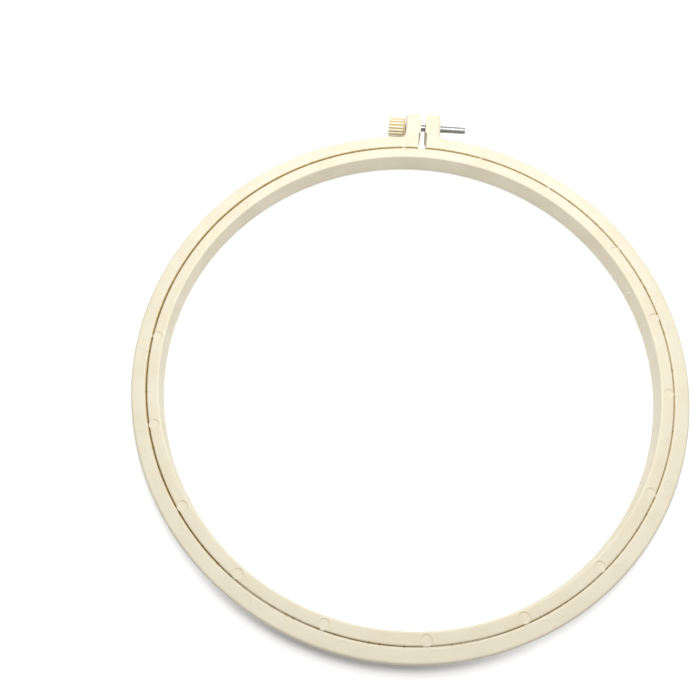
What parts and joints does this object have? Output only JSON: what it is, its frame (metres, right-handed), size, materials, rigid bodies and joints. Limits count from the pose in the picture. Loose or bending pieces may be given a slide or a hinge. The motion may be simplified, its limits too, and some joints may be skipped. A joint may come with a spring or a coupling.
{
  "type": "embroidery frame",
  "caption": "Round plastic embroidery frame: a closed inner ring in a split outer ring that a thumb screw with a fluted knob draws tight.",
  "frame": {"origin": "centre of the two rings, in the plane of the back face on which the frame lies", "axes": "+Z along the rings' axis towards the front face, +Y from the centre towards the lugs, +X along the screw from the knob to its free end"},
  "size_m": [0.265, 0.28, 0.012],
  "materials": {
    "ivory_plastic": "satin, moulded",
    "cream_plastic": "satin, moulded",
    "tan_plastic": "satin, moulded",
    "zinc_steel": "zinc plated",
    "nut_steel": "zinc plated"
  },
  "bodies": {
    "outer_hoop": {"outer_ring": "ivory_plastic", "hex_nut": "nut_steel"},
    "inner_hoop": {"inner_ring": "cream_plastic"},
    "screw": {"tension_screw": "zinc_steel"},
    "knob": {"thumb_knob": "tan_plastic"}
  },
  "joints": [
    {"name": "inner_ring_lift", "type": "slide", "parent": "outer_hoop", "child": "inner_hoop", "axis": [0, 0, 1], "range_m": [0, 0.03]},
    {"name": "screw_travel", "type": "slide", "parent": "outer_hoop", "child": "screw", "axis": [1, 0, 0], "range_m": [-0.015, 0]},
    {"name": "knob_turn", "type": "hinge", "parent": "screw", "child": "knob", "pos_m": [-0.0143, 0.1421, 0.006], "axis": [1, 0, 0], "range_deg": [-7714.3, 0]}
  ],
  "couplings": [
    {"joint": "knob_turn", "follows": "screw_travel", "rad_per_m": 8976}
  ]
}
